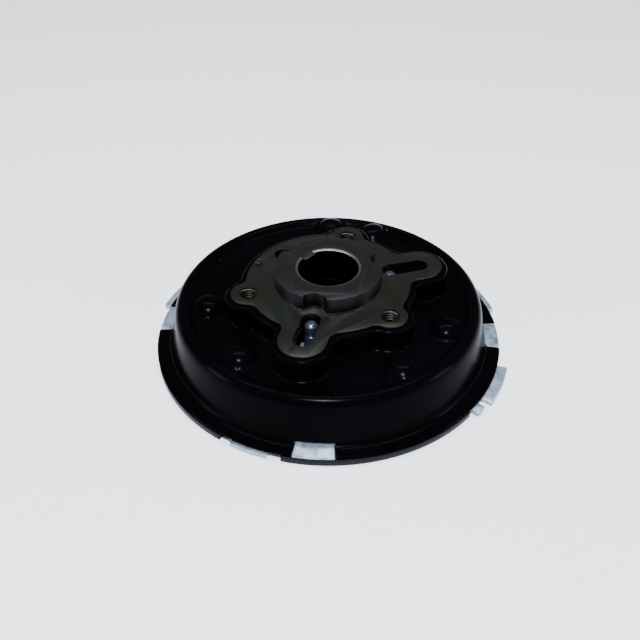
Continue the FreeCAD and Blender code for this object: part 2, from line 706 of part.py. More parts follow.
# ---------------------------------------------------------------- driven hub, disc, linings and rivets
driven_hub = new_body("driven_hub")
spin(driven_hub, "driven_hub_turn", [
    ("hub_lip", "hub_flange_bottom"), ("hub_flange", "hub_flange_bottom"),
    ("hub_flange", "hub_flange_top"), ("hub_neck", "hub_flange_top"),
    ("hub_neck", "hub_neck_top"), ("race_seat", "hub_neck_top"),
    ("race_seat", "neck_groove_top"), ("neck_groove", "neck_groove_top"),
    ("neck_groove", "seat_top"), ("race_seat", "seat_top"),
    ("race_seat", "hub_lip_top"), ("hub_lip", "hub_lip_top"),
])
holes(driven_hub, "hub_rivet_holes", "rivet_radius", "rivet_circle", 0,
      "hub_flange_bottom", "hub_flange_top - hub_flange_bottom", RIVETS)
holes(driven_hub, "driven_taps", "driven_tap_radius", "rivet_circle", 30,
      "hub_flange_bottom", "hub_flange_top - hub_flange_bottom", LOBES)

driven_disc = new_body("driven_disc")
spin(driven_disc, "disc_flat", [
    ("disc_inner", "hub_flange_top"), ("disc_outer", "hub_flange_top"),
    ("disc_outer", "hub_flange_top + disc_thickness"), ("disc_inner", "hub_flange_top + disc_thickness"),
])
holes(driven_disc, "disc_rivet_holes", "rivet_radius", "rivet_circle", 0,
      "hub_flange_top", "disc_thickness", RIVETS)

disc_top = "hub_flange_top + disc_thickness"
for name, low, high in (("lining_lower", "hub_flange_top - lining_thickness", "hub_flange_top"),
                        ("lining_upper", disc_top, disc_top + " + lining_thickness")):
    lining = new_body(name)
    spin(lining, name + "_flat", [
        ("lining_inner", low), ("lining_outer", low), ("lining_outer", high), ("lining_inner", high),
    ])

disc_rivets = new_body("disc_rivets")
rivet_sketch = new_sketch(disc_rivets, "rivet_sketch", "XZ_Plane")
outline(rivet_sketch, [
    ("0", "hub_flange_bottom"), ("rivet_radius", "hub_flange_bottom"),
    ("rivet_radius", "hub_flange_top + disc_thickness"), ("rivet_head", "hub_flange_top + disc_thickness"),
    ("rivet_head - 0.8", "hub_flange_top + disc_thickness + rivet_head_height"),
    ("0", "hub_flange_top + disc_thickness + rivet_head_height"),
])
stand_at(rivet_sketch, 0, SIZES["rivet_circle"])
repeat(disc_rivets, "rivets", turned(disc_rivets, "rivet", rivet_sketch), RIVETS, 360)

# ---------------------------------------------------------------- ball bearing
for name, inner, outer in (("bearing_inner_race", "seat_radius", "race_inner_outside"),
                           ("bearing_outer_race", "race_outer_inside", "race_outer")):
    race = new_body(name)
    spin(race, name + "_turn", [
        (inner, "hub_lip_top"), (outer, "hub_lip_top"), (outer, "seat_top"), (inner, "seat_top"),
    ])
    track = new_sketch(race, name + "_track_sketch", "XZ_Plane")
    ring(track, "ball_track", "ball_circle", "ball_height")
    turned(race, name + "_track", track, cut=True)

bearing_balls = new_body("bearing_balls")
first_ball = ball(bearing_balls, "ball", "ball_radius", "ball_circle", "ball_height")
repeat(bearing_balls, "balls", first_ball, BALLS, 360)

bearing_cage = new_body("bearing_cage")
spin(bearing_cage, "cage_turn", [
    ("cage_inner", "cage_bottom"), ("cage_outer", "cage_bottom"),
    ("cage_outer", "cage_top"), ("cage_inner", "cage_top"),
])
cage_sketch = new_sketch(bearing_cage, "cage_hole_sketch", "YZ_Plane")
ring(cage_sketch, "ball_pocket", "0", "ball_height")
cage_hole = pocket(bearing_cage, "cage_hole", cage_sketch, "race_outer")
repeat(bearing_cage, "cage_holes", cage_hole, BALLS, 360)

# ---------------------------------------------------------------- snap rings on the bearing
lower_snap_ring = new_body("lower_snap_ring")
spin(lower_snap_ring, "lower_ring_turn", [
    ("seat_radius - groove_depth", "lower_ring_bottom"), ("lower_ring_outer", "lower_ring_bottom"),
    ("lower_ring_outer", "hub_lip_top"), ("seat_radius - groove_depth", "hub_lip_top"),
], degrees=360 - RING_GAP)
upper_snap_ring = new_body("upper_snap_ring")
spin(upper_snap_ring, "upper_ring_turn", [
    ("upper_ring_inner", "seat_top"), ("neck_groove", "seat_top"),
    ("neck_groove", "neck_groove_top"), ("upper_ring_inner", "neck_groove_top"),
], degrees=360 - RING_GAP)

# ---------------------------------------------------------------- check and write
doc.recompute()
for item in doc.Objects:
    if "Invalid" in item.State or "Error" in item.State:
        raise RuntimeError("%s could not be built: %s" % (item.Name, item.State))
for body in bodies:
    if body.Shape.isNull() or not body.Shape.isValid():
        raise RuntimeError("%s has no valid shape" % body.Name)
os.makedirs("parts", exist_ok=True)
for body in bodies:
    body.Shape.exportStep("parts/%s.step" % body.Name)
    box = body.Shape.BoundBox
    print("%-20s %2d solid  %9.1f mm3  z %6.2f..%6.2f  r %6.2f" % (
        body.Name, len(body.Shape.Solids), body.Shape.Volume, box.ZMin, box.ZMax, max(box.XMax, box.YMax)))
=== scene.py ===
# %% [markdown]
# A clutch flywheel for a small engine: a dark machined hub with a keyed bore, a glossy black
# pressed drum, and zinc-plated lugs round the rim. The CAD model gives every piece its place.
# Here the pieces get the shapes, edges and finishes that make them look like metal.

# %% Load the frame and note its size
import json
import math

import bmesh
import bpy
import numpy as np
from mathutils import Matrix, Vector


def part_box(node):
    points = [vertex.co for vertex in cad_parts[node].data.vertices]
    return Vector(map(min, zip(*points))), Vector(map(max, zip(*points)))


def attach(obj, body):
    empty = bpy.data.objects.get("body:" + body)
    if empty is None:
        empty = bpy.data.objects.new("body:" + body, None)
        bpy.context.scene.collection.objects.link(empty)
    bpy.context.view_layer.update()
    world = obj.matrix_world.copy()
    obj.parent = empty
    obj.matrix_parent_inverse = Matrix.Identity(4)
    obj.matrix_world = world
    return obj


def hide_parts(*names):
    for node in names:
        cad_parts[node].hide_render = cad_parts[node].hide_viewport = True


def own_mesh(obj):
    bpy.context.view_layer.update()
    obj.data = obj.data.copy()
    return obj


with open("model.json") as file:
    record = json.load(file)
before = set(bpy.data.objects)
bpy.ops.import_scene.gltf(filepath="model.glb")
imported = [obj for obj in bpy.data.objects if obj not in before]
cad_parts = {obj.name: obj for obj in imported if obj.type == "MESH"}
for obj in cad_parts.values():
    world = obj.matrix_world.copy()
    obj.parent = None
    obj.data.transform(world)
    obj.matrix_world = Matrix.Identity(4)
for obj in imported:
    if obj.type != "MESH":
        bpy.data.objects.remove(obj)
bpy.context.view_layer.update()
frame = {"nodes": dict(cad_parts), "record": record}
MM = 0.001
ROOT = "flywheel"

hub_low, hub_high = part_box("hub")
shell_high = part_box("shell")[1]
rim_low, rim_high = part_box("rim_ring")
print("hub is", round((hub_high[2] - hub_low[2]) / MM, 1), "mm tall")
print("shell reaches", round(shell_high[2] / MM, 1), "mm up")

# %% [markdown]
# The camera stands in front of the flywheel and looks down at it by about 39 degrees, as a person
# at a bench would. Its place is worked out from the rim's radius, so the rim fills the same part
# of the picture whatever the rim measures.

# %% Place the camera
RIM_RADIUS = (rim_high[0] - rim_low[0]) / 2
FLANGE_TOP = rim_high[2] + 1.5 * MM
LOOK_DOWN = math.radians(38.89)
DISTANCE = 4.985 * RIM_RADIUS
AIM_ASIDE = -0.048 * RIM_RADIUS
AIM_ABOVE = 0.064
LENS = 47.36
SENSOR_WIDTH = 36
ROLL = math.radians(-0.38)

forward = Vector((0, math.cos(LOOK_DOWN), -math.sin(LOOK_DOWN)))
upward = Vector((0, math.sin(LOOK_DOWN), math.cos(LOOK_DOWN)))
aim = Vector((AIM_ASIDE, 0, FLANGE_TOP)) + upward * AIM_ABOVE * RIM_RADIUS
bpy.ops.object.camera_add(location=aim - forward * DISTANCE)
camera = bpy.context.object
camera.name = "bench_camera"
camera.rotation_euler = (math.pi / 2 - LOOK_DOWN, 0, 0)
level = camera.rotation_euler.to_matrix()
camera.rotation_euler = (level @ Matrix.Rotation(ROLL, 3, "Z")).to_euler()
camera.data.lens = LENS
camera.data.sensor_width = SENSOR_WIDTH
bpy.context.scene.camera = camera
print("camera stands", round(DISTANCE, 3), "m away")

# %% [markdown]
# Black enamel shows almost nothing of its own: what the eye reads is the lights in it. A small
# bright box above the front gives the spot on the crown, a long thin strip overhead lifts the top
# faces, and two weak boxes at the sides show where the skirt turns away. The floor is plain and
# pale, and a dim white world fills in the rest.

# %% Floor and lights
FLOOR_SIZE = 6
WORLD_STRENGTH = 0.32
LIGHT_AIM = Vector((0, 0, 0.02))

bpy.ops.mesh.primitive_plane_add(size=FLOOR_SIZE, location=(0, 0, 0))
floor = bpy.context.object
floor.name = "floor"

world = bpy.data.worlds.new("studio")
world.use_nodes = True
background = world.node_tree.nodes["Background"]
background.inputs["Color"].default_value = (1.0, 1.0, 1.0, 1)
background.inputs["Strength"].default_value = WORLD_STRENGTH
bpy.context.scene.world = world


def soft_box(name, place, wide, tall, watts, colour):
    """An area light that faces the middle of the flywheel."""
    bpy.ops.object.light_add(type="AREA", location=place)
    light = bpy.context.object
    light.name = name
    light.data.shape = "RECTANGLE"
    light.data.size = wide
    light.data.size_y = tall
    light.data.energy = watts
    light.data.color = colour
    facing = LIGHT_AIM - Vector(place)
    light.rotation_euler = facing.to_track_quat("-Z", "Y").to_euler()


# each light is its name, place, width, height, watts and colour
LIGHTS = [
    ("key_box", (-0.05, -0.57, 1.06), 0.17, 0.09, 34, (0.80, 0.88, 1.0)),
    ("overhead_strip", (0, 0.35, 1.5), 1.5, 0.03, 16, (1.0, 0.98, 0.98)),
    ("left_box", (-1.1, -0.25, 0.30), 0.3, 0.4, 5, (0.95, 0.90, 1.0)),
    ("right_box", (1.1, -0.25, 0.30), 0.3, 0.4, 5, (0.95, 0.90, 1.0)),
]
for name, place, wide, tall, watts, colour in LIGHTS:
    soft_box(name, place, wide, tall, watts, colour)
print(len(LIGHTS), "lights over a floor", FLOOR_SIZE, "m wide")

# %% [markdown]
# Several finishes share the same small faults: a fine grain that breaks up the shine, and slow
# patches where the colour drifts. Each is one node group, placed in a material with its own
# numbers, so that a change to the grain changes it everywhere.

# %% Shared node groups
def new_group(name, inputs, outputs):
    """An empty shader group with named sockets."""
    group = bpy.data.node_groups.new(name, "ShaderNodeTree")
    for label, kind, start in inputs:
        socket = group.interface.new_socket(label, in_out="INPUT", socket_type=kind)
        if start is not None:
            socket.default_value = start
    for label, kind in outputs:
        group.interface.new_socket(label, in_out="OUTPUT", socket_type=kind)
    begin = group.nodes.new("NodeGroupInput")
    end = group.nodes.new("NodeGroupOutput")
    return group, begin, end


def make_grain_group():
    """Fine noise as a height, and as a small change of roughness."""
    group, begin, end = new_group(
        "metal_grain",
        [("Scale", "NodeSocketFloat", 900.0), ("Base Roughness", "NodeSocketFloat", 0.4),
         ("Spread", "NodeSocketFloat", 0.1)],
        [("Height", "NodeSocketFloat"), ("Roughness", "NodeSocketFloat")])
    nodes, links = group.nodes, group.links
    place = nodes.new("ShaderNodeTexCoord")
    noise = nodes.new("ShaderNodeTexNoise")
    noise.inputs["Detail"].default_value = 4
    links.new(place.outputs["Object"], noise.inputs["Vector"])
    links.new(begin.outputs["Scale"], noise.inputs["Scale"])
    centred = nodes.new("ShaderNodeMath")
    centred.operation = "SUBTRACT"
    centred.inputs[1].default_value = 0.5
    links.new(noise.outputs["Fac"], centred.inputs[0])
    spread = nodes.new("ShaderNodeMath")
    spread.operation = "MULTIPLY_ADD"
    links.new(centred.outputs[0], spread.inputs[0])
    links.new(begin.outputs["Spread"], spread.inputs[1])
    links.new(begin.outputs["Base Roughness"], spread.inputs[2])
    links.new(noise.outputs["Fac"], end.inputs["Height"])
    links.new(spread.outputs[0], end.inputs["Roughness"])
    return group


def make_patch_group():
    """Slow patches that mix two colours."""
    group, begin, end = new_group(
        "colour_patches",
        [("Main", "NodeSocketColor", (0.5, 0.5, 0.5, 1)),
         ("Patch", "NodeSocketColor", (0.4, 0.4, 0.4, 1)), ("Scale", "NodeSocketFloat", 60.0)],
        [("Color", "NodeSocketColor"), ("Mask", "NodeSocketFloat")])
    nodes, links = group.nodes, group.links
    place = nodes.new("ShaderNodeTexCoord")
    noise = nodes.new("ShaderNodeTexNoise")
    noise.inputs["Detail"].default_value = 6
    noise.inputs["Roughness"].default_value = 0.6
    ramp = nodes.new("ShaderNodeMapRange")
    ramp.inputs["From Min"].default_value = 0.38
    ramp.inputs["From Max"].default_value = 0.66
    blend = nodes.new("ShaderNodeMix")
    blend.data_type = "RGBA"
    links.new(place.outputs["Object"], noise.inputs["Vector"])
    links.new(begin.outputs["Scale"], noise.inputs["Scale"])
    links.new(noise.outputs["Fac"], ramp.inputs["Value"])
    links.new(ramp.outputs["Result"], blend.inputs["Factor"])
    links.new(begin.outputs["Main"], blend.inputs["A"])
    links.new(begin.outputs["Patch"], blend.inputs["B"])
    links.new(blend.outputs["Result"], end.inputs["Color"])
    links.new(ramp.outputs["Result"], end.inputs["Mask"])
    return group


grain_group = make_grain_group()
patch_group = make_patch_group()
print("shared groups:", grain_group.name, "and", patch_group.name)

# %% [markdown]
# One recipe serves every metal here: patches give the colour, grain gives the roughness and a
# shallow bump, and the shader's own sockets hold what stays the same all over the piece.
#
# The enamel's IOR is 1.07, far below the 1.5 of real enamel. A pale floor would otherwise show
# in the black as grey. Raise it towards 1.5 where the surroundings are darker.

# %% Finishes
BUMP_DEPTH = 0.0002


def finish(name, main, patch, patch_scale, metallic, roughness, spread, grain_scale, bump,
           specular=0.5, ior=1.5):
    """A Principled material with patches of colour and a grained surface."""
    material = bpy.data.materials.new(name)
    material.use_nodes = True
    nodes, links = material.node_tree.nodes, material.node_tree.links
    shader = nodes["Principled BSDF"]
    shader.inputs["Metallic"].default_value = metallic
    shader.inputs["Specular IOR Level"].default_value = specular
    shader.inputs["IOR"].default_value = ior
    patches = nodes.new("ShaderNodeGroup")
    patches.node_tree = patch_group
    patches.inputs["Main"].default_value = (*main, 1)
    patches.inputs["Patch"].default_value = (*patch, 1)
    patches.inputs["Scale"].default_value = patch_scale
    grain = nodes.new("ShaderNodeGroup")
    grain.node_tree = grain_group
    grain.inputs["Scale"].default_value = grain_scale
    grain.inputs["Base Roughness"].default_value = roughness
    grain.inputs["Spread"].default_value = spread
    relief = nodes.new("ShaderNodeBump")
    relief.inputs["Strength"].default_value = bump
    relief.inputs["Distance"].default_value = BUMP_DEPTH
    links.new(patches.outputs["Color"], shader.inputs["Base Color"])
    links.new(grain.outputs["Roughness"], shader.inputs["Roughness"])
    links.new(grain.outputs["Height"], relief.inputs["Height"])
    links.new(relief.outputs["Normal"], shader.inputs["Normal"])
    return material


floor_paint = finish(
    "floor_paint", main=(0.96, 0.96, 0.96), patch=(0.95, 0.95, 0.95),
    patch_scale=2, metallic=0, roughness=0.9, spread=0.02, grain_scale=30, bump=0.0, specular=0.1)
floor.data.materials.append(floor_paint)

black_enamel = finish(
    "black_enamel", main=(0.0007, 0.0005, 0.0009), patch=(0.0012, 0.0008, 0.0014),
    patch_scale=25, metallic=0, roughness=0.20, spread=0.05, grain_scale=700, bump=0.02, ior=1.07)
hub_steel = finish(
    "hub_steel", main=(0.040, 0.045, 0.045), patch=(0.043, 0.038, 0.027),
    patch_scale=30, metallic=1, roughness=0.34, spread=0.10, grain_scale=1500, bump=0.04)
# painted shade: the bore's colour is darker than the hub plate, standing in for the shade inside
# the bore
bore_painted_shade = finish(
    "bore_painted_shade", main=(0.012, 0.012, 0.014), patch=(0.022, 0.014, 0.010),
    patch_scale=60, metallic=1, roughness=0.24, spread=0.10, grain_scale=1200, bump=0.05)
# the boss's upright wall is darker than the plate: partly a dark stain, partly painted shade
boss_wall_stain_and_shade = finish(
    "boss_wall_stain_and_shade", main=(0.016, 0.014, 0.017), patch=(0.024, 0.021, 0.025),
    patch_scale=40, metallic=1, roughness=0.36, spread=0.10, grain_scale=1200, bump=0.05)
# painted highlight: the chamfer at the bore's mouth is coloured lighter than the rest of the hub
chamfer_painted_highlight = finish(
    "chamfer_painted_highlight", main=(0.16, 0.16, 0.155), patch=(0.12, 0.12, 0.115),
    patch_scale=200, metallic=1, roughness=0.36, spread=0.10, grain_scale=1500, bump=0.05)
dark_steel = finish(
    "dark_steel", main=(0.003, 0.003, 0.004), patch=(0.005, 0.005, 0.006),
    patch_scale=80, metallic=0.1, roughness=0.40, spread=0.10,
    grain_scale=900, bump=0.06, specular=0.1)
zinc_plate = finish(
    "zinc_plate", main=(0.38, 0.46, 0.54), patch=(0.14, 0.19, 0.25),
    patch_scale=260, metallic=0.65, roughness=0.34, spread=0.20, grain_scale=1200, bump=0.12)
bright_steel = finish(
    "bright_steel", main=(0.10, 0.12, 0.17), patch=(0.07, 0.08, 0.12),
    patch_scale=150, metallic=0.85, roughness=0.24, spread=0.06, grain_scale=1800, bump=0.03)
spring_steel = finish(
    "spring_steel", main=(0.16, 0.16, 0.17), patch=(0.10, 0.10, 0.10),
    patch_scale=150, metallic=0.9, roughness=0.34, spread=0.08, grain_scale=1500, bump=0.05)
plain_steel = finish(
    "plain_steel", main=(0.34, 0.34, 0.35), patch=(0.27, 0.265, 0.26),
    patch_scale=120, metallic=1, roughness=0.33, spread=0.10, grain_scale=1400, bump=0.06)
friction_lining = finish(
    "friction_lining", main=(0.085, 0.070, 0.052), patch=(0.16, 0.13, 0.09),
    patch_scale=900, metallic=0, roughness=0.82, spread=0.10,
    grain_scale=2500, bump=0.55, specular=0.3)
bearing_steel = finish(
    "bearing_steel", main=(0.66, 0.67, 0.70), patch=(0.60, 0.61, 0.64),
    patch_scale=200, metallic=1, roughness=0.12, spread=0.04, grain_scale=2500, bump=0.02)
cage_brass = finish(
    "cage_brass", main=(0.62, 0.43, 0.17), patch=(0.50, 0.33, 0.12),
    patch_scale=180, metallic=1, roughness=0.30, spread=0.08, grain_scale=1500, bump=0.05)
FINISHES = {
    "black_enamel": black_enamel, "hub_steel": hub_steel, "dark_steel": dark_steel,
    "zinc_plate": zinc_plate, "bright_steel": bright_steel, "spring_steel": spring_steel,
    "plain_steel": plain_steel, "friction_lining": friction_lining,
    "bearing_steel": bearing_steel, "cage_brass": cage_brass,
}
print(len(FINISHES), "finishes")

# %% [markdown]
# The hub plate, and the raised platform of the shell that follows it, share one outline: a round
# plate with three small lobes and two long ears, all joined by hollow curves. A distance field
# says how far a point is outside that outline. Two shapes joined through a rounded corner give
# the hollow curves, and asking for a distance of a few mm instead of 0 gives the platform's
# outline, which stands out all round the plate by the same margin.

# %% The outline as a distance field
PLATE_RADIUS = 35.3
LOBE_RADIUS = 7.4
LOBE_REACH = 35.0
LOBE_ANGLES = (75, 195, 315)
EAR_RADIUS = 9.9
EAR_REACH = 41.4
EAR_ANGLES = (-105, 15)
HOLLOW_RADIUS = 5.0
PIN_REACH = 28.0
PIN_ANGLE = 135
FAR_AWAY = 1e3
SEARCH_FROM = 30.0
SEARCH_TO = 62.0
SEARCH_STEPS = 40


def strip_distance(x, y, angle, reach, radius):
    """Distance outside a round-ended strip that runs out from the middle."""
    turn = math.radians(angle)
    along = np.clip(x * math.cos(turn) + y * math.sin(turn), 0, reach)
    return np.hypot(x - along * math.cos(turn), y - along * math.sin(turn)) - radius


def hollow_join(a, b, radius):
    """Join two distances with a rounded inside corner."""
    inside_a = np.maximum(radius - a, 0)
    inside_b = np.maximum(radius - b, 0)
    return np.maximum(radius, np.minimum(a, b)) - np.hypot(inside_a, inside_b)


def plate_distance(x, y):
    """How far, in mm, a point lies outside the hub plate's outline."""
    arms = np.full_like(x, FAR_AWAY)
    for angle in LOBE_ANGLES:
        arms = np.minimum(arms, strip_distance(x, y, angle, LOBE_REACH, LOBE_RADIUS))
    for angle in EAR_ANGLES:
        arms = np.minimum(arms, strip_distance(x, y, angle, EAR_REACH, EAR_RADIUS))
    return hollow_join(np.hypot(x, y) - PLATE_RADIUS, arms, HOLLOW_RADIUS)


def outline_radius(turns, margin):
    """For each direction, how far out the outline with this margin lies."""
    near = np.full_like(turns, SEARCH_FROM)
    far = np.full_like(turns, SEARCH_TO)
    for _ in range(SEARCH_STEPS):
        middle = (near + far) / 2
        outside = plate_distance(middle * np.cos(turns), middle * np.sin(turns)) > margin
        far = np.where(outside, middle, far)
        near = np.where(outside, near, middle)
    return near


ear_turn = np.radians(np.array([float(EAR_ANGLES[0])]))
print("an ear reaches", round(float(outline_radius(ear_turn, 0)[0]), 1), "mm from the middle")

# %% [markdown]
# The shell is one sheet of steel, pressed over a die. A lathe profile alone can't give it, because
# the platform in its middle isn't round. So it starts as a flat web of rings, made by extruding
# a circle outwards again and again. The web is then laid on the shape: inner rings follow the
# platform's outline, outer rings are round, and the rings between change from one to the other.

# %% The rings of the shell, from the middle out
SHEET = 1.5
PLATFORM_TOP = 32.1
MOAT = 22.0
HOLE_RADIUS = 23.4
LEDGE = 26.8
GAP = 0.08
MARGIN = 2.5
TOP_ROUND = 1.1
FOOT_ROUND = 1.6
MOAT_EDGE = 57.6
MOAT_RINGS = 15
LEDGE_WIDTH = 4.0
LEDGE_CORNER = 0.2
LIP_DROP = 0.35
LIP_SPREAD = 0.3
COLUMNS = 480
FIRST_TURN = math.radians(-101.75)

# each ring is its kind, amount and height: "plate" rings stand off the outline by the amount,
# "round" ones are circles of that radius, and "between" ones share the way across the moat
rings = [
    ("round", HOLE_RADIUS, LEDGE), ("plate", -LEDGE_WIDTH, LEDGE),
    ("plate", GAP - LEDGE_CORNER, LEDGE), ("plate", GAP, LEDGE + LEDGE_CORNER),
    ("plate", GAP, PLATFORM_TOP - LIP_DROP), ("plate", GAP + LIP_SPREAD, PLATFORM_TOP),
]
low_wall = MOAT + FOOT_ROUND
for step in range(5):
    turn = step / 4 * math.pi / 2
    stand = MARGIN - TOP_ROUND + TOP_ROUND * math.sin(turn)
    rings.append(("plate", stand, PLATFORM_TOP - TOP_ROUND + TOP_ROUND * math.cos(turn)))
for share in (0.75, 0.5, 0.25):
    rings.append(("plate", MARGIN, low_wall + (PLATFORM_TOP - TOP_ROUND - low_wall) * share))
for step in range(5):
    turn = step / 4 * math.pi / 2
    stand = MARGIN + FOOT_ROUND - FOOT_ROUND * math.cos(turn)
    rings.append(("plate", stand, MOAT + FOOT_ROUND - FOOT_ROUND * math.sin(turn)))
for step in range(1, MOAT_RINGS):
    rings.append(("between", step / MOAT_RINGS, MOAT))
# the crown, as a round profile of radius and height
crown = [
    (57.6, 22.0), (58.4, 22.08), (59.2, 22.4), (59.9, 22.95), (60.5, 23.60), (61.2, 24.15),
    (62.0, 24.42), (62.8, 24.50), (63.6, 24.36), (64.4, 23.98), (65.1, 23.40), (65.75, 22.6),
    (66.25, 21.6), (66.6, 20.4), (66.95, 18.7), (67.4, 16.5), (67.85, 14.2), (68.3, 12.0),
    (68.75, 9.8), (69.15, 7.9), (69.5, 6.5), (69.9, 5.6), (70.5, 4.95), (71.3, 4.6), (72.2, 4.5),
    (73.8, 4.5), (75.3, 4.5), (75.75, 4.42), (76.0, 4.15),
]
rings += [("round", radius, height) for radius, height in crown]
print(len(rings), "rings of", COLUMNS, "points")

# %% [markdown]
# Six domes stand in the moat, one over each spring, and three shallow grooves and ribs stiffen the
# sheet. They are heights only, so they can be added to the web before it has any thickness. A
# dome is part of a ball, blended into the sheet so that its foot is rounded as a die leaves it.

# %% Small relief pressed into the sheet
DOME_BALL = 8.6
DOME_CENTRE = 18.2
DOME_BLEND = 0.9
DOME_FALL = 3
# each groove is its reach, first and last angle, half width and depth; a negative depth is a rib
GROOVES = [(50.2, -79, -67, 1.3, -0.22), (59.5, 48, 61, 3.2, 1.6), (58.6, 149, 159, 1.8, 0.7)]
# each dome is its angle and its reach
DOMES = [(-175, 52.0), (-134, 52.2), (-58, 54.7), (-23.2, 53.4), (66.6, 56.2), (88, 56.8)]


def raise_domes(x, y, z):
    """Press the spring domes up through the sheet, with a rounded foot to each."""
    for angle, reach in DOMES:
        turn = math.radians(angle)
        away = np.hypot(x - reach * math.cos(turn), y - reach * math.sin(turn))
        ball = DOME_CENTRE + np.sqrt(np.maximum(DOME_BALL ** 2 - away ** 2, 0))
        ball = np.where(away < DOME_BALL, ball, DOME_CENTRE - (away - DOME_BALL) * DOME_FALL)
        lap = np.clip(0.5 + 0.5 * (ball - z) / DOME_BLEND, 0, 1)
        z = z + (ball - z) * lap + DOME_BLEND * lap * (1 - lap)
    return z


def press_groove(x, y, z, reach, start, end, width, depth):
    """Press a long round-ended groove along an arc."""
    turn = np.degrees(np.arctan2(y, x))
    inside = np.clip(turn, start, end)
    along = np.radians(inside)
    away = np.hypot(x - reach * np.cos(along), y - reach * np.sin(along))
    return z - depth * np.clip(1 - (away / width) ** 2, 0, 1) ** 2


print(len(DOMES), "domes and", len(GROOVES), "grooves or ribs")

# %% [markdown]
# A circle's edge is extruded once for each ring and scaled a step wider, which makes a flat web
# with its rings one unit apart. That spacing tells each point's ring from how far out it is.
# Then every point goes to its ring's place and height.

# %% Make the shell
def activate(piece):
    """Select one object alone and make it the active one."""
    bpy.ops.object.select_all(action="DESELECT")
    piece.select_set(True)
    bpy.context.view_layer.objects.active = piece


bpy.ops.object.select_all(action="DESELECT")
bpy.ops.mesh.primitive_circle_add(vertices=COLUMNS, radius=1, location=(0, 0, 0))
shell = bpy.context.object
shell.name = "drum_shell"
bpy.ops.object.mode_set(mode="EDIT")
bpy.ops.mesh.select_all(action="SELECT")
for number in range(2, len(rings) + 1):
    bpy.ops.mesh.extrude_edges_move()
    bpy.ops.transform.resize(value=(number / (number - 1), number / (number - 1), 1))
bpy.ops.object.mode_set(mode="OBJECT")

points = np.empty(len(shell.data.vertices) * 3)
shell.data.vertices.foreach_get("co", points)
points = points.reshape(-1, 3)
ring_number = np.round(np.hypot(points[:, 0], points[:, 1])).astype(int) - 1
column = np.round(np.arctan2(points[:, 1], points[:, 0]) / (2 * math.pi) * COLUMNS)
turns = FIRST_TURN + column / COLUMNS * 2 * math.pi
foot = outline_radius(turns, MARGIN + FOOT_ROUND)
reach = np.zeros_like(turns)
height = np.zeros_like(turns)
for number, (kind, amount, level) in enumerate(rings):
    here = ring_number == number
    if kind == "round":
        reach[here] = amount
    elif kind == "plate":
        reach[here] = outline_radius(turns[here], amount)
    else:
        reach[here] = foot[here] + (MOAT_EDGE - foot[here]) * amount
    height[here] = level
x = reach * np.cos(turns)
y = reach * np.sin(turns)
height = raise_domes(x, y, height)
for arc_reach, start, end, width, depth in GROOVES:
    height = press_groove(x, y, height, arc_reach, start, end, width, depth)
shell.data.vertices.foreach_set("co", (np.stack([x, y, height], 1) * MM).ravel())
shell.data.update()
print("shell web has", len(shell.data.vertices), "points")

# %% [markdown]
# Four windows are cut through the flange and the skirt's foot, for the retainer ring's tabs. The
# web's columns were turned so that a column falls on each window's edge, so a window is only
# some faces taken away. Solidify then gives the sheet its thickness, downwards.

# %% Cut the windows and thicken the sheet
WINDOW_START = 69.4
WINDOW_HALF = 6.75
WINDOW_ANGLES = (-95, -2.75, 85, 172)

activate(shell)
bpy.ops.object.mode_set(mode="EDIT")
web = bmesh.from_edit_mesh(shell.data)
for face in web.faces:
    middle = face.calc_center_median() / MM
    turn = math.degrees(math.atan2(middle.y, middle.x))
    off = min(abs((turn - angle + 180) % 360 - 180) for angle in WINDOW_ANGLES)
    face.select = off < WINDOW_HALF and math.hypot(middle.x, middle.y) > WINDOW_START
bmesh.update_edit_mesh(shell.data)
bpy.ops.mesh.delete(type="FACE")
bpy.ops.mesh.select_all(action="SELECT")
bpy.ops.mesh.normals_make_consistent(inside=False)
bpy.ops.object.mode_set(mode="OBJECT")
if shell.data.polygons[0].normal.z < 0:
    shell.data.flip_normals()
sheet_modifier = shell.modifiers.new("sheet", "SOLIDIFY")
sheet_modifier.thickness = SHEET * MM
sheet_modifier.offset = -1
bpy.ops.object.modifier_apply(modifier="sheet")
print("shell has", len(shell.data.polygons), "faces")

# %% [markdown]
# The hub plate sits on a ledge of the shell, and the ledge is open under the plate's slots, its
# pin hole and its screw holes. A round-ended block is made from a cylinder, by sliding one half of
# its points further out than the other, and a Boolean modifier cuts it away. Both halves slid by
# the same amount leave it round.

# %% Open the ledge under the hub's slots and screws
SLOT_END = 41
SLOT_HALF = 4.2
SCREW_HALF = 4.6
CUT_LOW = 24
CUT_HIGH = 28
CUTTER_SIDES = 48
SHELL_SMOOTH = 35


def cutter_strip(name, angle, start, end, radius, low, high):
    """A round-ended upright block, used to cut a slot; start equal to end cuts a round hole."""
    bpy.ops.object.select_all(action="DESELECT")
    bpy.ops.mesh.primitive_cylinder_add(
        vertices=CUTTER_SIDES, radius=radius * MM, depth=(high - low) * MM,
        location=(0, 0, (low + high) / 2 * MM))
    cutter = bpy.context.object
    cutter.name = name
    turn = math.radians(angle)
    for vertex in cutter.data.vertices:
        slide = end if vertex.co.x > 0 else start
        across = vertex.co.y
        along = vertex.co.x + slide * MM
        vertex.co.x = along * math.cos(turn) - across * math.sin(turn)
        vertex.co.y = along * math.sin(turn) + across * math.cos(turn)
    bpy.ops.object.transform_apply(location=True, rotation=False, scale=False)
    return cutter


def cut_away(piece, cutters):
    """Cut a list of blocks out of a piece, then remove the blocks."""
    for cutter in cutters:
        activate(piece)
        modifier = piece.modifiers.new("cut", "BOOLEAN")
        modifier.operation = "DIFFERENCE"
        modifier.solver = "EXACT"
        modifier.object = cutter
        bpy.ops.object.modifier_apply(modifier="cut")
        bpy.data.objects.remove(cutter, do_unlink=True)


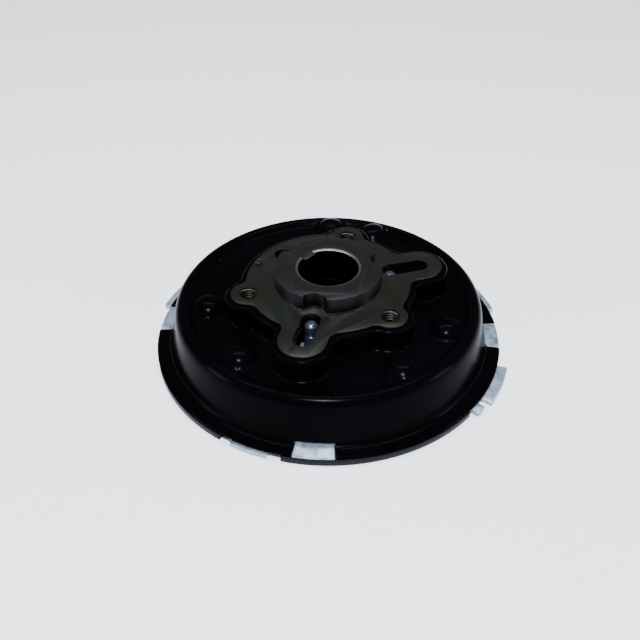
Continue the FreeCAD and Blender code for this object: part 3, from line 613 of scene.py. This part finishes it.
shell_cutters = [
    cutter_strip("cut_slot", angle, PIN_REACH, SLOT_END, SLOT_HALF, CUT_LOW, CUT_HIGH)
    for angle in EAR_ANGLES]
shell_cutters.append(
    cutter_strip("cut_pin_hole", PIN_ANGLE, PIN_REACH, PIN_REACH, SLOT_HALF, CUT_LOW, CUT_HIGH))
shell_cutters += [
    cutter_strip("cut_hole", angle, LOBE_REACH, LOBE_REACH, SCREW_HALF, CUT_LOW, CUT_HIGH)
    for angle in LOBE_ANGLES]
cut_away(shell, shell_cutters)
activate(shell)
bpy.ops.object.shade_smooth_by_angle(angle=math.radians(SHELL_SMOOTH))
shell.data.materials.append(black_enamel)
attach(shell, ROOT)
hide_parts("shell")
print("shell finished with", len(shell.data.polygons), "faces")

# %% [markdown]
# The turned and machined pieces already have the right shape in the CAD model, but their edges
# are perfectly sharp, and a sharp edge never catches light. A copy of each one is merged into a
# closed mesh, its edges get a small bevel, and the copy stands in for the original.

# %% Copies with broken edges
MERGE_DISTANCE = 0.000002
FLAT_ANGLE = 0.6
SHARP_ANGLE = 40


def finished_copy(node, body, finish_name, edge=0.0, smooth=30):
    """A merged copy of a CAD node with bevelled edges, which replaces the node."""
    source = frame["nodes"][node]
    piece = bpy.data.objects.new(node + "_finished", source.data.copy())
    bpy.context.collection.objects.link(piece)
    activate(piece)
    bpy.ops.object.mode_set(mode="EDIT")
    bpy.ops.mesh.select_all(action="SELECT")
    bpy.ops.mesh.remove_doubles(threshold=MERGE_DISTANCE)
    bpy.ops.mesh.dissolve_limited(angle_limit=math.radians(FLAT_ANGLE))
    bpy.ops.object.mode_set(mode="OBJECT")
    if edge:
        modifier = piece.modifiers.new("broken_edge", "BEVEL")
        modifier.width = edge * MM
        modifier.segments = 2
        modifier.limit_method = "ANGLE"
        modifier.angle_limit = math.radians(SHARP_ANGLE)
        modifier.use_clamp_overlap = True
        bpy.ops.object.modifier_apply(modifier="broken_edge")
    bpy.ops.object.shade_smooth_by_angle(angle=math.radians(smooth))
    piece.data.materials.clear()
    piece.data.materials.append(FINISHES[finish_name])
    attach(piece, body)
    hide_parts(node)
    return piece


slot_of = {entry["node"]: entry["material_slot"] for entry in frame["record"]["subparts"]}
body_of = {}
for body, nodes in frame["record"]["behaviour"]["bodies"].items():
    for node in nodes:
        body_of[node] = body
# how wide each piece's broken edges are, in mm
EDGES = {
    "hub": 0.35, "rim_ring": 0.3, "retainer_ring": 0.3, "balance_weights": 0.25, "dowel": 0.3,
    "pressure_plate": 0.3, "release_pins": 0.25, "driven_hub": 0.3, "driven_disc": 0.2,
    "disc_rivets": 0.25, "bearing_inner_race": 0.3, "bearing_outer_race": 0.3,
    "lower_snap_ring": 0.2, "upper_snap_ring": 0.2, "shell_ring": 0.2,
    "lining_lower": 0.15, "lining_upper": 0.15, "bearing_cage": 0.1, "bearing_balls": 0,
}
pieces = {}
for node, edge in EDGES.items():
    smooth = 70 if node == "release_pins" else 30
    pieces[node] = finished_copy(node, body_of[node], slot_of[node], edge, smooth)
    print(node, len(pieces[node].data.polygons), "faces")

# %% [markdown]
# The hub's bore is darker than the plate, and that is painted shade. The turned wall of its boss
# is darker too, partly a dark stain and partly painted shade. The chamfer at the bore's mouth is
# brighter, and that is a painted highlight. All three belong to the hub, so they are faces of the
# same piece with materials of their own, picked by where they lie and which way they face.

# %% Bore, boss wall and chamfer
BOSS_LOW = 33.2
BOSS_RADIUS = 24
BORE_RADIUS = 12.7
BORE_SLACK = 0.3
CHAMFER = 1.4
CHAMFER_LOW = 30
WALL_START = 4
UPRIGHT = 0.3
NEARLY_FLAT = 0.985
hub = pieces["hub"]
# these add the bore's painted shade, the chamfer's painted highlight, and the boss wall's stain
# and painted shade
hub.data.materials.append(bore_painted_shade)
hub.data.materials.append(chamfer_painted_highlight)
hub.data.materials.append(boss_wall_stain_and_shade)
counts = [0, 0, 0]
for face in hub.data.polygons:
    middle = face.center / MM
    away = math.hypot(middle.x, middle.y)
    upright = abs(face.normal.z) < UPRIGHT
    inward = face.normal.x * middle.x + face.normal.y * middle.y < 0
    slanted = UPRIGHT < face.normal.z < NEARLY_FLAT
    if away < BORE_RADIUS + BORE_SLACK and upright and inward:
        face.material_index = 1
        counts[0] += 1
    elif BORE_RADIUS < away < BORE_RADIUS + CHAMFER and slanted and middle.z > CHAMFER_LOW:
        face.material_index = 2
        counts[1] += 1
    elif BORE_RADIUS + WALL_START < away < BOSS_RADIUS and upright and middle.z > BOSS_LOW:
        face.material_index = 3
        counts[2] += 1
print(counts[0], "bore faces,", counts[1], "chamfer faces and", counts[2], "wall faces")

# %% [markdown]
# The three lobes of the hub plate are tapped for screws. The CAD holes are plain, at the size of
# the thread's core. Here each hole is opened to the thread's outer size, and a ridge is wound
# into it by turning a small closed profile round the hole while it climbs one pitch a turn.

# %% Threads in the tapped lobes
THREAD_WALL = 4.0
THREAD_CREST = 3.35
THREAD_ROOT = THREAD_WALL + 0.15
THREAD_TURNS = 4
THREAD_STEPS = 40
THREAD_START = 0.35
PITCH = 1.25
PLATE_LOW = 26.8
PLATE_TOP = 32.8

tap_cutters = [
    cutter_strip("tap", angle, LOBE_REACH, LOBE_REACH, THREAD_WALL, PLATE_LOW - 1, PLATE_TOP + 1)
    for angle in LOBE_ANGLES]
cut_away(pieces["hub"], tap_cutters)
activate(pieces["hub"])
bpy.ops.object.shade_smooth_by_angle(angle=math.radians(30))
for number, angle in enumerate(LOBE_ANGLES, start=1):
    mesh = bpy.data.meshes.new("thread_%d" % number)
    profile = [(THREAD_ROOT, 0), (THREAD_ROOT, PITCH * 0.82),
               (THREAD_CREST, PITCH * 0.47), (THREAD_CREST, PITCH * 0.35)]
    corners = [(out * MM, 0, up * MM) for out, up in profile]
    mesh.from_pydata(corners, [(0, 1), (1, 2), (2, 3), (3, 0)], [])
    thread = bpy.data.objects.new("thread_%d" % number, mesh)
    bpy.context.collection.objects.link(thread)
    activate(thread)
    winding = thread.modifiers.new("winding", "SCREW")
    winding.steps = THREAD_STEPS
    winding.render_steps = THREAD_STEPS
    winding.screw_offset = PITCH * MM
    winding.iterations = THREAD_TURNS
    bpy.ops.object.modifier_apply(modifier="winding")
    bpy.ops.object.mode_set(mode="EDIT")
    bpy.ops.mesh.select_all(action="SELECT")
    bpy.ops.mesh.fill_holes(sides=4)
    bpy.ops.mesh.normals_make_consistent(inside=False)
    bpy.ops.object.mode_set(mode="OBJECT")
    turn = math.radians(angle)
    foot_of_thread = PLATE_LOW + THREAD_START
    place = Vector((LOBE_REACH * math.cos(turn), LOBE_REACH * math.sin(turn), foot_of_thread))
    thread.data.transform(Matrix.Translation(place * MM))
    bpy.ops.object.shade_smooth_by_angle(angle=math.radians(40))
    thread.data.materials.append(hub_steel)
    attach(thread, ROOT)
print("three threads of", len(thread.data.polygons), "faces")

# %% [markdown]
# A spring shortens when the pressure plate lifts; its top end stays in its dome and its foot keeps
# on the plate. Here each spring only gets a finished copy with a mesh of its own.

# %% Springs
for number in range(1, len(DOMES) + 1):
    node = "spring_%d" % number
    low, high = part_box(node)
    spring = finished_copy(node, body_of[node], "spring_steel", 0, 60)
    middle = ((low[0] + high[0]) / 2, (low[1] + high[1]) / 2, high[2])
    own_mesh(spring)

# %% [markdown]
# The last step gives plain steel to every CAD node that still has no material.

# %% Give plain steel to the remaining nodes
for node in frame["nodes"].values():
    if not node.data.materials:
        node.data.materials.append(plain_steel)
